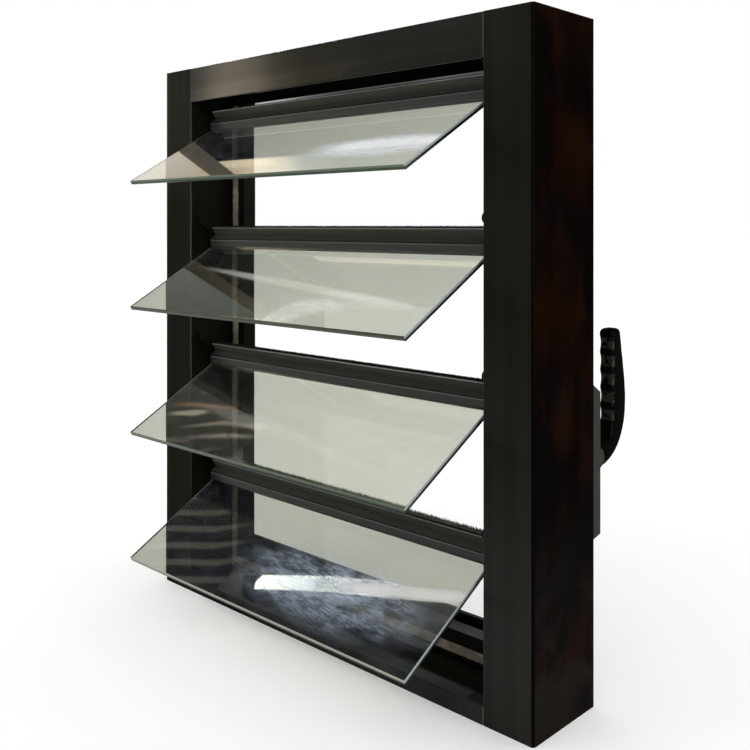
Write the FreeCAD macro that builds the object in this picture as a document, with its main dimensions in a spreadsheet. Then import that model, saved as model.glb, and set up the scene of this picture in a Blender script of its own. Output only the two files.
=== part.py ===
import FreeCAD, Part
import os
import re
import Sketcher

# Louvre window with tilting glass blades: black extruded frame, carrier rails, end plates and a pull lever.
# X runs along the width, +Y points into the room, +Z is up; the origin is the middle of the sill's underside.

doc = FreeCAD.newDocument("louvre_window")
sheet = doc.addObject("Spreadsheet::Sheet", "sizes")

SIZES = {
    # frame
    "frame_width": 564, "frame_height": 650, "frame_depth": 100,
    "jamb_face": 55, "head_face": 42, "sill_lip": 17, "wall": 3,
    "sill_floor": 15, "lip_wall": 2.5,
    "stop_setback": 64, "stop_depth": 18, "stop_rise": 25,
    "sill_flange_height": 46, "sill_flange_depth": 5,
    "head_rib": 3.5,
    "corner_radius": 3.5, "edge_radius": 1, "lip_radius": 0.8,
    # pile seals on the stops, and the rib beside them
    "pile_width": 9, "pile_height": 3, "pile_inset": 4,
    "rib_gap": 4, "rib_width": 2, "rib_height": 1.5,
    # blades, in the blade's own tilted frame
    "blade_count": 4, "top_pivot_drop": 42, "bottom_pivot_height": 170, "pivot_setback": 12, "open_tilt": 30,
    "pivot_run": 5.2, "pivot_rise": 35,
    "glass_reach": 137, "glass_seat": 10, "glass_thickness": 5, "glass_inset": 5, "glass_seam": 0.6,
    "lip_run": 3.75, "lip_rise": 6.5, "shadow_groove": 1.2,
    "hollow_run": 14, "hollow_rise": 8.2, "crest_run": 13.2, "crest_rise": 18.9,
    "crest_width": 2.2, "gutter_rise": 12, "gutter_width": 3.4,
    "flange_rise": 15.5, "flange_width": 3.5, "rail_back": 2.5,
    "bead_thickness": 1.2, "jaw_thickness": 2, "jaw_setback": 2,
    "rail_pile_height": 2.6, "rail_pile_width": 2.6,
    # end plates, pivot pins and bushes
    "reveal_gap": 3, "plate_thickness": 4, "arm_radius": 5,
    "pin_radius": 3, "pin_length": 12, "pin_clearance": 0.05,
    "bush_radius": 5.5, "bush_length": 10, "bush_flange_radius": 8, "bush_flange": 1,
    # pull lever and its housing
    "handle_inset": 23, "handle_axis_height": 226, "handle_rise": 82, "handle_drop": 74,
    "housing_width": 34, "housing_depth": 22, "housing_slope": 14, "housing_foot_slope": 5,
    "hub_standoff": 12, "hub_radius": 11.5, "hub_width": 9,
    "ear_radius": 10, "ear_thickness": 3.6, "ear_gap": 0.4, "ear_root_rise": 2.5,
    "handle_pin_radius": 4, "lever_width": 17, "lever_rise": 125, "grip_standoff": 27, "grip_thickness": 30,
    "belly_height": 50, "tip_thickness": 18, "tip_round": 6,
    "finger_count": 5, "finger_pitch": 18, "finger_depth": 2.2, "lever_chamfer": 1.5,
}

for row, (alias, value) in enumerate(SIZES.items(), start=1):
    sheet.set(f"A{row}", alias)
    sheet.set(f"B{row}", str(value))
    sheet.setAlias(f"B{row}", alias)
doc.recompute()


def size(alias):
    """The number in one cell of the sheet."""
    return float(getattr(sheet, alias))


def bound(text):
    """An expression on aliases, written out for the document."""
    return re.sub(r"[a-z][a-z_]*", lambda word: f"sizes.{word.group()}", text)


def new_body(label, place=("0", "0", "0"), tilt=0.0):
    """A named body whose place is bound to the sheet, turned about X by tilt degrees."""
    body = doc.addObject("PartDesign::Body", label)
    body.Label = label
    body.Placement = FreeCAD.Placement(FreeCAD.Vector(), FreeCAD.Rotation(FreeCAD.Vector(1, 0, 0), tilt))
    for axis, text in zip("xyz", place):
        body.setExpression(f"Placement.Base.{axis}", bound(text))
    return body


def new_sketch(body, name, plane):
    """A sketch on one of the body's own origin planes."""
    sketch = body.newObject("Sketcher::SketchObject", name)
    support = [f for f in body.Origin.OriginFeatures if f.Role == plane][0]
    sketch.AttachmentSupport = [(support, "")]
    sketch.MapMode = "FlatFace"
    return sketch


def place_point(sketch, index, which, point):
    """Ties one end of a line or the centre of a circle to two expressions."""
    for kind, text in zip(("DistanceX", "DistanceY"), point):
        number = sketch.addConstraint(Sketcher.Constraint(kind, -1, 1, index, which, 1.0))
        sketch.setExpression(f"Constraints[{number}]", bound(text))


def outline(sketch, corners):
    """A closed outline of straight sides through corners that are pairs of expressions."""
    count = len(corners)
    start = sketch.GeometryCount
    ring = [FreeCAD.Vector(1, 0, 0)]
    turn = FreeCAD.Rotation(FreeCAD.Vector(0, 0, 1), 360.0 / count)
    for _ in range(count - 1):
        ring.append(turn.multVec(ring[-1]))
    for i in range(count):
        sketch.addGeometry(Part.LineSegment(ring[i], ring[(i + 1) % count]))
    for i in range(count):
        sketch.addConstraint(Sketcher.Constraint("Coincident", start + i, 2, start + (i + 1) % count, 1))
    for i, corner in enumerate(corners):
        place_point(sketch, start + i, 1, corner)


def circle(sketch, centre, radius):
    """A circle with its centre and radius bound to expressions."""
    index = sketch.addGeometry(Part.Circle(FreeCAD.Vector(), FreeCAD.Vector(0, 0, 1), 1.0))
    place_point(sketch, index, 3, centre)
    number = sketch.addConstraint(Sketcher.Constraint("Radius", index, 1.0))
    sketch.setExpression(f"Constraints[{number}]", bound(radius))


def pad(body, sketch, length, middle=False, back=False):
    """Pads a sketch, to one side, backwards, or half to each side."""
    feature = body.newObject("PartDesign::Pad", f"{sketch.Name}_pad")
    feature.Profile = sketch
    feature.Midplane = middle
    feature.Reversed = back
    feature.setExpression("Length", bound(length))
    return feature


def pocket(body, sketch, length, middle=False, back=False):
    """Cuts a sketch out of the body."""
    feature = body.newObject("PartDesign::Pocket", f"{sketch.Name}_pocket")
    feature.Profile = sketch
    feature.Midplane = middle
    feature.Reversed = back
    feature.setExpression("Length", bound(length))
    return feature


def round_edges(body, name, axis, corners, radius):
    """Rounds the straight edges that run along one axis (0 to 2) through corners of a body's section."""
    doc.recompute()
    base = body.Tip
    points = [[float(sheet.evalExpression(text)) for text in corner] for corner in corners]

    def lies_on_corner(edge):
        ends = [list(vertex.Point) for vertex in edge.Vertexes]
        for end in ends:
            del end[axis]
        return any(max(abs(a - b) for end in ends for a, b in zip(end, point)) < TOUCHING for point in points)

    feature = body.newObject("PartDesign::Fillet", name)
    picked = [f"Edge{k}" for k, edge in enumerate(base.Shape.Edges, start=1) if lies_on_corner(edge)]
    feature.Base = (base, picked)
    feature.setExpression("Radius", bound(radius))


def seam_edges(body, name, width):
    """Takes the sharp arris off every edge of a body."""
    base = body.Tip
    feature = body.newObject("PartDesign::Chamfer", name)
    feature.Base = (base, [""])
    feature.UseAllEdges = True
    feature.setExpression("Size", bound(width))


def shifted(corners, run, rise):
    """The same corners counted from a point at run and rise."""
    return [(f"{y} - {run}", f"{z} - {rise}") for y, z in corners]


nodes = []
TOUCHING = 1e-6
half_depth = "frame_depth / 2"
opening = "(frame_width - 2 * jamb_face)"
PITCH = "(frame_height - top_pivot_drop - bottom_pivot_height) / (blade_count - 1)"


def pivot_height(number):
    """Height of one blade's pivot axis, counted from the top blade down at an even pitch."""
    return f"(frame_height - top_pivot_drop - {number} * {PITCH})"


def jamb(side, label):
    """Full-height hollow extrusion: box at the front, a ribbed stop standing into the opening, a chamber behind."""
    body = new_body(label)
    sketch = new_sketch(body, f"{label}_section", "XY_Plane")

    def at(inward, depth):
        return (f"{side} * (frame_width / 2 - ({inward}))", f"{depth} - {half_depth}")

    stop_tip = "jamb_face + stop_rise"
    stop_end = "stop_setback + stop_depth"
    rib_start = "jamb_face + pile_inset + pile_width + rib_gap"
    rib_end = f"{rib_start} + rib_width"
    rib_top = "stop_setback - rib_height"
    outline(sketch, [at("0", "0"), at("jamb_face", "0"), at("jamb_face", "stop_setback"),
                     at(rib_start, "stop_setback"), at(rib_start, rib_top), at(rib_end, rib_top),
                     at(rib_end, "stop_setback"), at(stop_tip, "stop_setback"),
                     at(stop_tip, stop_end), at("jamb_face", stop_end),
                     at("jamb_face", "frame_depth"), at("0", "frame_depth")])
    outline(sketch, [at("wall", "wall"), at("jamb_face - wall", "wall"),
                     at("jamb_face - wall", "stop_setback"), at("wall", "stop_setback")])
    outline(sketch, [at("wall", "stop_setback + wall"), at(f"{stop_tip} - wall", "stop_setback + wall"),
                     at(f"{stop_tip} - wall", f"{stop_end} - wall"), at("jamb_face - wall", f"{stop_end} - wall"),
                     at("jamb_face - wall", "frame_depth - wall"), at("wall", "frame_depth - wall")])
    pad(body, sketch, "frame_height")
    round_edges(body, f"{label}_corner", 2, [at("0", "0")], "corner_radius")
    edges = [at("jamb_face", "0"), at("0", "frame_depth"), at("jamb_face", "frame_depth")]
    round_edges(body, f"{label}_edges", 2, edges, "edge_radius")
    holes = new_sketch(body, f"{label}_pivot_holes", "YZ_Plane")
    for i in range(int(size("blade_count"))):
        circle(holes, (f"pivot_setback - {half_depth}", pivot_height(i)), "bush_radius")
    pocket(body, holes, "frame_width / 2 - jamb_face / 2", back=side > 0)
    copes = new_sketch(body, f"{label}_copes", "XZ_Plane")
    for low, high in (("0", "sill_lip + stop_rise"), ("frame_height - head_face", "frame_height")):
        tip = f"{side} * (frame_width / 2 - jamb_face - stop_rise)"
        root = f"{side} * (frame_width / 2 - jamb_face)"
        outline(copes, [(tip, low), (root, low), (root, high), (tip, high)])
    pocket(body, copes, "2 * frame_depth", middle=True)
    nodes.append(body)


def head():
    """Top member: a channel open below for the top blade, with a closed chamber along the room side."""
    body = new_body("head")
    sketch = new_sketch(body, "head_section", "YZ_Plane")

    def at(depth, drop):
        return (f"{depth} - {half_depth}", f"frame_height - ({drop})")

    outline(sketch, [at("0", "0"), at("frame_depth", "0"), at("frame_depth", "head_face"),
                     at("stop_setback - head_rib", "head_face"), at("stop_setback - head_rib", "head_face - wall"),
                     at("stop_setback", "head_face - wall"), at("stop_setback", "wall"),
                     at("wall", "wall"), at("wall", "head_face"), at("0", "head_face")])
    outline(sketch, [at("stop_setback + wall", "wall"), at("frame_depth - wall", "wall"),
                     at("frame_depth - wall", "head_face - wall"), at("stop_setback + wall", "head_face - wall")])
    pad(body, sketch, opening, middle=True)
    round_edges(body, "head_edges", 0, [at("0", "head_face"), at("0", "0")], "edge_radius")
    nodes.append(body)


def sill():
    """Bottom member: front lip, flat floor, upstand that carries the pile seal, groove and inner flange."""
    body = new_body("sill")
    sketch = new_sketch(body, "sill_section", "YZ_Plane")

    def at(depth, height):
        return (f"{depth} - {half_depth}", height)

    stop_end = "stop_setback + stop_depth"
    flange = "frame_depth - sill_flange_depth"
    outline(sketch, [at("0", "0"), at("frame_depth", "0"), at("frame_depth", "sill_flange_height"),
                     at(flange, "sill_flange_height"), at(flange, "sill_floor"), at(stop_end, "sill_floor"),
                     at(stop_end, "sill_lip + stop_rise"), at("stop_setback", "sill_lip + stop_rise"),
                     at("stop_setback", "sill_floor"), at("lip_wall", "sill_floor"),
                     at("lip_wall", "sill_lip"), at("0", "sill_lip")])
    outline(sketch, [at("wall", "wall"), at("frame_depth - wall", "wall"),
                     at("frame_depth - wall", "sill_floor - wall"), at("wall", "sill_floor - wall")])
    pad(body, sketch, opening, middle=True)
    round_edges(body, "sill_edges", 0, [at("0", "sill_lip")], "lip_radius")
    nodes.append(body)


def jamb_pile(side, label):
    """Pile seal strip on the front of a jamb's stop, from the sill's floor to the head."""
    body = new_body(label, ("0", "0", "sill_floor"))
    sketch = new_sketch(body, f"{label}_section", "XY_Plane")

    def at(inward, proud):
        return (f"{side} * (frame_width / 2 - jamb_face - ({inward}))",
                f"stop_setback - ({proud}) - {half_depth}")

    outer = "pile_inset + pile_width"
    outline(sketch, [at("pile_inset", "0"), at("pile_inset", "pile_height"),
                     at(outer, "pile_height"), at(outer, "0")])
    pad(body, sketch, "frame_height - head_face - sill_floor")
    nodes.append(body)


def sill_pile():
    """Pile seal strip on the front of the sill's upstand, between the jamb strips."""
    body = new_body("sill_pile", ("0", "0", "sill_floor"))
    sketch = new_sketch(body, "sill_pile_section", "YZ_Plane")

    def at(proud, height):
        return (f"stop_setback - ({proud}) - {half_depth}", height)

    upper = "pile_inset + pile_width"
    outline(sketch, [at("0", "pile_inset"), at("0", upper), at("pile_height", upper),
                     at("pile_height", "pile_inset")])
    pad(body, sketch, f"{opening} - 2 * (pile_inset + pile_width)", middle=True)
    nodes.append(body)


def pivot_bushes(side, label):
    """Flanged plastic bushes in one jamb, one for each blade."""
    body = new_body(label, (f"{side} * {opening} / 2", "0", "0"))
    steps = (("sleeve", "bush_radius", "bush_length", side < 0),
             ("collar", "bush_flange_radius", "bush_flange", side > 0))
    for name, radius, length, back in steps:
        sketch = new_sketch(body, f"{label}_{name}", "YZ_Plane")
        for i in range(int(size("blade_count"))):
            centre = (f"pivot_setback - {half_depth}", pivot_height(i))
            circle(sketch, centre, radius)
            circle(sketch, centre, "pin_radius + pin_clearance")
        pad(body, sketch, length, back=back)
    nodes.append(body)


RAIL_END = f"({opening} / 2 - reveal_gap - plate_thickness)"
CREST_BACK = ("crest_run + crest_width", "crest_rise - crest_width / 2")
SLOT_BACK = "glass_seat + rail_back"
FLANGE_FRONT = "crest_run + crest_width + gutter_width"
FLANGE_BACK = f"{FLANGE_FRONT} + flange_width"
JAW_TOP = "0 - glass_thickness - bead_thickness"


def rail_corners():
    """The carrier rail's section: lip over the glass, shadow groove, hollow face, crest, gutter, flange, slot, jaw."""
    return [("0", "0"), ("lip_run", "lip_rise"), ("lip_run + shadow_groove", "lip_rise"),
            ("lip_run + 2 * shadow_groove", "lip_rise + shadow_groove"),
            ("lip_run + shadow_groove", "lip_rise + shadow_groove"),
            ("hollow_run", "hollow_rise"), ("crest_run", "crest_rise"), CREST_BACK,
            ("crest_run + crest_width", "gutter_rise"), (FLANGE_FRONT, "gutter_rise"),
            (FLANGE_FRONT, "flange_rise"), (FLANGE_BACK, "flange_rise"), (FLANGE_BACK, "gutter_rise"),
            (SLOT_BACK, "0"), (SLOT_BACK, f"{JAW_TOP} - jaw_thickness"),
            ("jaw_setback", f"{JAW_TOP} - jaw_thickness"), ("jaw_setback", JAW_TOP),
            ("glass_seat", JAW_TOP), ("glass_seat", "0")]


def blade_body(label, number, across="0"):
    """A body in the tilted frame of one blade, with its pivot axis as the origin."""
    place = (across, f"pivot_setback - {half_depth}", pivot_height(number))
    return new_body(label, place, size("open_tilt"))


def blade_strip(label, number, corners, length):
    """A straight strip of one section along the blade."""
    body = blade_body(label, number)
    sketch = new_sketch(body, f"{label}_section", "YZ_Plane")
    outline(sketch, shifted(corners, "pivot_run", "pivot_rise"))
    pad(body, sketch, length, middle=True)
    nodes.append(body)
    return body


def end_plate(side, label, number):
    """Plate that closes a rail's end, with an arm up to the pivot and the pin that turns in the jamb's bush."""
    body = blade_body(label, number, f"{side} * {RAIL_END}")
    face = new_sketch(body, f"{label}_face", "YZ_Plane")
    outer = [("0", "0"), ("lip_run", "lip_rise"), ("hollow_run", "hollow_rise"), ("crest_run", "crest_rise"),
             CREST_BACK, (FLANGE_BACK, "flange_rise"), (FLANGE_BACK, "gutter_rise"), (SLOT_BACK, "0"),
             (SLOT_BACK, f"{JAW_TOP} - jaw_thickness"), ("jaw_setback", f"{JAW_TOP} - jaw_thickness")]
    outline(face, shifted(outer, "pivot_run", "pivot_rise"))
    pad(body, face, "plate_thickness", back=side < 0)
    arm = new_sketch(body, f"{label}_arm", "YZ_Plane")
    foot = "crest_run - pivot_run"
    outline(arm, [("0 - arm_radius", "0"), (f"{foot} - arm_radius", "crest_rise - pivot_rise - arm_radius"),
                  (f"{foot} + crest_width", "crest_rise - pivot_rise - arm_radius"),
                  (f"{foot} + crest_width", "crest_rise - pivot_rise"), ("arm_radius", "0")])
    pad(body, arm, "plate_thickness", back=side < 0)
    boss = new_sketch(body, f"{label}_boss", "YZ_Plane")
    circle(boss, ("0", "0"), "arm_radius")
    pad(body, boss, "plate_thickness", back=side < 0)
    pin = new_sketch(body, f"{label}_pin", "YZ_Plane")
    circle(pin, ("0", "0"), "pin_radius")
    pad(body, pin, "plate_thickness + pin_length", back=side < 0)
    nodes.append(body)


def blade(number):
    """One louvre: glass, its carrier rail, gasket, pile strip and two end plates."""
    name = f"blade_{number + 1}"
    rail_length = f"2 * {RAIL_END}"
    glass_length = f"{rail_length} - 2 * glass_inset"
    glass = blade_strip(f"{name}_glass", number,
                        [("0 - glass_reach", "0 - glass_thickness"), ("glass_seat", "0 - glass_thickness"),
                         ("glass_seat", "0"), ("0 - glass_reach", "0")], glass_length)
    seam_edges(glass, f"{name}_glass_seam", "glass_seam")
    blade_strip(f"{name}_rail", number, rail_corners(), rail_length)
    blade_strip(f"{name}_gasket", number,
                [("jaw_setback", JAW_TOP), ("glass_seat", JAW_TOP), ("glass_seat", "0 - glass_thickness"),
                 ("jaw_setback", "0 - glass_thickness")], glass_length)
    blade_strip(f"{name}_pile", number,
                [(FLANGE_FRONT, "flange_rise"), (f"{FLANGE_FRONT} + rail_pile_width", "flange_rise"),
                 (f"{FLANGE_FRONT} + rail_pile_width", "flange_rise + rail_pile_height"),
                 (FLANGE_FRONT, "flange_rise + rail_pile_height")], rail_length)
    end_plate(-1, f"{name}_left_plate", number)
    end_plate(1, f"{name}_right_plate", number)


HANDLE_X = "frame_width / 2 - handle_inset"
HANDLE_Y = f"{half_depth} + housing_depth + hub_standoff"
EAR_SPAN = "hub_width + 2 * ear_gap + 2 * ear_thickness"


def handle_housing():
    """Housing on the room side of the right jamb: sloped ends and two ears that carry the lever's pin."""
    body = new_body("handle_housing", (HANDLE_X, half_depth, "handle_axis_height"))
    side_view = new_sketch(body, "housing_side", "YZ_Plane")
    outline(side_view, [("0", "0 - handle_drop"), ("housing_depth", "0 - handle_drop + housing_foot_slope"),
                        ("housing_depth", "handle_rise - housing_slope"), ("0", "handle_rise")])
    pad(body, side_view, "housing_width", middle=True)
    ears = new_sketch(body, "housing_ears", "YZ_Plane")
    tip = "housing_depth + hub_standoff"
    outline(ears, [("housing_depth / 2", "ear_root_rise"), (tip, "0 - ear_radius"), (tip, "ear_radius"),
                   ("housing_depth / 2", "ear_radius")])
    pad(body, ears, EAR_SPAN, middle=True)
    rounds = new_sketch(body, "housing_ear_rounds", "YZ_Plane")
    circle(rounds, (tip, "0"), "ear_radius")
    pad(body, rounds, EAR_SPAN, middle=True)
    room = new_sketch(body, "housing_hub_room", "YZ_Plane")
    outline(room, [("housing_depth", "0 - 2 * hub_radius"), (f"{tip} + 2 * hub_radius", "0 - 2 * hub_radius"),
                   (f"{tip} + 2 * hub_radius", "2 * hub_radius"), ("housing_depth", "2 * hub_radius")])
    pocket(body, room, "hub_width + 2 * ear_gap", middle=True)
    bore = new_sketch(body, "housing_bore", "YZ_Plane")
    circle(bore, (tip, "0"), "handle_pin_radius")
    pocket(body, bore, "2 * housing_width", middle=True)
    nodes.append(body)


def lever_outline():
    """Side view of the lever about its pin: round hub, belly sweeping out and up, blunt tip, finger scallops."""
    hub = size("hub_radius")
    inner = size("grip_standoff")
    outer = inner + size("grip_thickness")
    tip = inner + size("tip_thickness")
    top = size("lever_rise") - size("tip_round")
    pitch = size("finger_pitch")
    fingers = int(size("finger_count"))

    def at(y, z):
        return FreeCAD.Vector(0, y, z)

    belly = Part.BSplineCurve()
    belly.interpolate([at(0, -hub), at(outer, size("belly_height")), at(tip, top)],
                      InitialTangent=at(1, 0), FinalTangent=at(tip - outer, top))
    crown = Part.Arc(at(tip, top), at((inner + tip) / 2, size("lever_rise")), at(inner, top))
    edges = [belly.toShape(), crown.toShape()]
    for i in range(fingers):
        high = top - i * pitch
        bottom_of_dip = at(inner + size("finger_depth"), high - pitch / 2)
        edges.append(Part.Arc(at(inner, high), bottom_of_dip, at(inner, high - pitch)).toShape())
    throat = Part.BSplineCurve()
    throat.interpolate([at(inner, top - fingers * pitch), at(0, hub)],
                       InitialTangent=at(0, -1), FinalTangent=at(-1, 0))
    edges.append(throat.toShape())
    edges.append(Part.Arc(at(0, hub), at(-hub, 0), at(0, -hub)).toShape())
    return Part.Wire(edges)


def handle_lever():
    """Pull lever with a finger grip: the full-width grip is cut away beside the ears, leaving a narrow hub."""
    width = size("lever_width")
    across = FreeCAD.Vector(1, 0, 0)
    grip = Part.Face(lever_outline()).extrude(across * width)
    grip.translate(across * (-width / 2))
    grip = grip.makeChamfer(size("lever_chamfer"), [edge for edge in grip.Edges if on_one_side(edge, width)])
    beside = (width - size("hub_width")) / 2
    clear = size("hub_radius") + size("ear_gap")
    for start in (-width / 2, width / 2 - beside):
        grip = grip.cut(Part.makeCylinder(clear, beside, across * start, across))
    bore = Part.makeCylinder(size("handle_pin_radius") + size("pin_clearance"), width, across * (-width / 2), across)
    lever = doc.addObject("Part::Feature", "handle_lever")
    lever.Shape = grip.cut(bore)
    lever.Placement = FreeCAD.Placement(
        FreeCAD.Vector(size("frame_width") / 2 - size("handle_inset"),
                       size("frame_depth") / 2 + size("housing_depth") + size("hub_standoff"),
                       size("handle_axis_height")), FreeCAD.Rotation())
    nodes.append(lever)


def on_one_side(edge, width):
    """True for an edge that lies in one of the lever's two flat sides."""
    box = edge.BoundBox
    return box.XLength < TOUCHING and abs(abs(box.Center.x) - width / 2) < TOUCHING


def handle_pin():
    """Pin through the housing's ears and the lever's hub."""
    body = new_body("handle_pin", (HANDLE_X, HANDLE_Y, "handle_axis_height"))
    sketch = new_sketch(body, "handle_pin_section", "YZ_Plane")
    circle(sketch, ("0", "0"), "handle_pin_radius")
    pad(body, sketch, EAR_SPAN, middle=True)
    nodes.append(body)


for side, word in ((-1, "left"), (1, "right")):
    jamb(side, f"{word}_jamb")
    jamb_pile(side, f"{word}_jamb_pile")
    pivot_bushes(side, f"{word}_pivot_bushes")
head()
sill()
sill_pile()
for number in range(int(size("blade_count"))):
    blade(number)
handle_housing()
handle_lever()
handle_pin()

doc.recompute()
failed = [thing.Label for thing in doc.Objects if {"Invalid", "Error"} & set(thing.State)]
failed += [body.Label for body in nodes if body.Shape.isNull() or not body.Shape.isValid()]
if failed:
    raise RuntimeError(f"these did not build: {failed}")

os.makedirs("parts", exist_ok=True)
for body in nodes:
    body.Shape.exportStep(f"parts/{body.Label}.step")
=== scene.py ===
import math

import bpy
import numpy as np
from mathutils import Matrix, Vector


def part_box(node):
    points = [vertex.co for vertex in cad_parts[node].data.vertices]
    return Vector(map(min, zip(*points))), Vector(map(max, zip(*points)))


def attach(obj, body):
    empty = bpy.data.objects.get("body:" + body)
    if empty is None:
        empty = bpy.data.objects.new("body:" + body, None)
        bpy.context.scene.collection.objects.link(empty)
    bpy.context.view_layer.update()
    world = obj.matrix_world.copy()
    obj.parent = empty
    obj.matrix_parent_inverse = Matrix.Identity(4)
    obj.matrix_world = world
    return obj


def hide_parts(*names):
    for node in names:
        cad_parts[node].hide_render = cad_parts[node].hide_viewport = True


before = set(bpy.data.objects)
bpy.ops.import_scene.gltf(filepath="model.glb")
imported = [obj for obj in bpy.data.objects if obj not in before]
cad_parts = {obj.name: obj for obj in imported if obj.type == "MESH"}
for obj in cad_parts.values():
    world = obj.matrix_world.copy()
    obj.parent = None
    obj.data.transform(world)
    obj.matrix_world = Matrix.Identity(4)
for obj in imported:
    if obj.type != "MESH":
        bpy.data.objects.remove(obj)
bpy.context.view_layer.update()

MM = 0.001
BLADES = (1, 2, 3, 4)

# Camera
CAMERA_PLACE = (0.74665, -0.73319, 0.45519)
CAMERA_YAW = 43.829
CAMERA_LENS = 44.996
SENSOR_WIDTH = 36.0
CAMERA_DROP = -0.1998

# Frame members, read from the frame, and the depth of the skins that take another finish
HALF_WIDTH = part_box("right_jamb")[1].x
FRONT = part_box("right_jamb")[0].y
STILE_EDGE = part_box("head")[1].x
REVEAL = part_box("right_jamb")[0].x
HEAD_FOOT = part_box("head")[0].z
SIDE_SKIN = 0.4 * MM
CORNER_SKIN = 2.6 * MM
STILE_SKIN = 0.6 * MM

# Gloss of the frame: its share on a clean and on a hazy patch, along the frame and on its duller faces
COAT_CLEAN = 0.05
COAT_HAZE = 0.18
LEFT_SHINE = 0.45
RIGHT_SHINE = 1.25
FOOT_SHINE = 0.45
FOOT_SHINE_SPAN = (0.05, 0.32)
BUFFED_SPAN = (-0.15, -0.01)
BUFFED_DROP = 0.15
OUTER_DULLING = 0.84
CORNER_DULLING = 0.9
REVEAL_DULLING = 0.6

# Haze and dust on the frame, and a greyer foot on its outer sides: scale of the streaks across and along,
# shares, heights over which the outer sides turn greyer
STREAKS_ACROSS = 80.0
STREAKS_ALONG = 0.9
HAZE_STREAKS = 0.25
HAZE_CLOUDS = 0.75
SIDE_FOOT_SPAN = (0.03, 0.20)
DUST_SHARE = 0.3

# Blades: tilt, half width of the glass, skins of its edges, foot of the upper arris, shares of edge and chips
BLADE_TILT = math.radians(30)
HALF_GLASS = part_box("blade_1_glass")[1].x
EDGE_SKIN = 0.65 * MM
FRONT_EDGE_SKIN = 2.6 * MM
ARRIS_FOOT = -0.6 * MM
EDGE_SHARE = 0.9
CHIP_SHARE = 0.6

# Painted lines on a rail's face, a highlight on the crest and lip and a shadow in the groove, and a darker
# lip, from its front and its underside, their strengths, and its dust
CREST_DEPTH = 2.9 * MM
CREST_HEIGHT = 2.4 * MM
GROOVE_DEPTH = 6.0 * MM
GROOVE_LEVEL = 14.4 * MM
GROOVE_HALF = 0.65 * MM
GROOVE_SHADE = 0.92
LIP_DEPTH = 0.7 * MM
LIP_LEVEL = 13.3 * MM
LIP_HALF = 0.5 * MM
LIP_HIGHLIGHT = 0.35
LIP_TOP = 13.8 * MM
LIP_SHADE = 0.38
RAIL_DUST_SHARE = 0.16

# Lever, in mm about its pin: inner and outer curves, tip, finger dips, widths and radii
GRIP_INNER = 27
GRIP_FOOT = 29
GRIP_TOP = 119
LEVER_INNER = (
    ((0, 11.5), (16, 11.5), (GRIP_INNER, 15), (GRIP_INNER, GRIP_FOOT)),
    ((GRIP_INNER, GRIP_FOOT), (GRIP_INNER, 59), (GRIP_INNER, 89), (GRIP_INNER, GRIP_TOP)),
)
LEVER_OUTER = (
    ((0, -11.5), (32, -11.5), (57, 14), (57, 50)),
    ((57, 50), (57, 75), (49, 97), (45.5, GRIP_TOP)),
)
LEVER_TIP = 5.9
LEVER_HALF_WIDTH = 8.5
FINGER_DIP = 2.2
EAR_REACH = 12.0
EAR_EASE = 3.5
HUB_RADIUS = 11.5
HUB_HALF_WIDTH = 4.4
HUB_CUT = 0.5
PIN_ROOM = 4.1

# Lever's sections: where its curves start and meet, powers of the roundings and dips, and counts
LEVER_START = 0.035
LEVER_BEND = 0.36
LEVER_BELLY = 0.51
INNER_ROUNDING = 0.42
OUTER_ROUNDING = 0.62
DIP_POWER = 1.2
FINGERS = 5
LEVER_SECTIONS = 120
LEVER_SIDES = 48
TIP_RINGS = 8
TIP_CLOSE = 0.02
HUB_SIDES = 64

# Finger dips with a painted highlight: heights over a dip's bottom between which the painted highlight fades,
# and gloss of plain and highlighted
DIP_HIGHLIGHT_FADE = (1.8 * MM, 3.0 * MM)
LEVER_SHINE = 0.022
DIP_HIGHLIGHT_SHINE = 0.08

# Pile: spacing of the tufts, first seeds, and rise of the lowest rail's pile, taller than the others
FRAME_PILE_PITCH = 1.0 * MM
RAIL_PILE_PITCH = 0.75 * MM
FRAME_PILE_SEED = 11
RAIL_PILE_SEED = 31
PILE_RISE = {4: 6.6 * MM}

# Tufts: jitter and half widths by the spacing, then lean, shortest, neck and backing by the height
TUFT_JITTER = 0.3
TUFT_HALF_WIDTHS = (0.42, 0.62)
TUFT_LEAN = 0.22
TUFT_SHORTEST = 0.72
TUFT_NECK = 0.6
TUFT_TAPER = 0.6
BACKING_SHARE = 0.25

# Colours, linear
WHITE = (1, 1, 1, 1)
FRAME_COLOUR = (0.0074, 0.0077, 0.0044, 1)
SIDE_RED = (0.0110, 0.0032, 0.0010, 1)
SIDE_BLACK = (0.0014, 0.0006, 0.0003, 1)
SIDE_FOOT = (0.0125, 0.0105, 0.0072, 1)
# Painted shade: black lines on the frame's outer front corners
CORNER_SHADE_COLOUR = (0.0012, 0.0012, 0.0010, 1)
# Painted highlight: the light line along the stiles' inner front edges
STILE_EDGE_HIGHLIGHT = (0.13, 0.125, 0.10, 1)
RAIL_COLOUR = (0.0500, 0.0510, 0.0400, 1)
# Painted highlight on a rail's crest and lip
CREST_HIGHLIGHT_COLOUR = (0.33, 0.35, 0.36, 1)
# Painted shadow in a rail's groove, also the dark tone of the black rail pile
SHADOW_AND_YARN_BLACK = (0.001, 0.001, 0.001, 1)
DUST_COLOUR = (0.22, 0.20, 0.16, 1)
PILE_LIGHT = (0.66, 0.60, 0.49, 1)
PILE_DARK = (0.20, 0.18, 0.145, 1)
RAIL_PILE_LIGHT = (0.24, 0.22, 0.16, 1)
RAIL_PILE_DARK = (0.060, 0.056, 0.042, 1)
PILE_BLACK = (0.010, 0.010, 0.008, 1)
GLASS_TINT = (0.64, 0.66, 0.565, 1)
EDGE_LIGHT = (0.16, 0.20, 0.12, 1)
SIDE_EDGE_COLOUR = (0.0060, 0.0085, 0.0060, 1)
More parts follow.
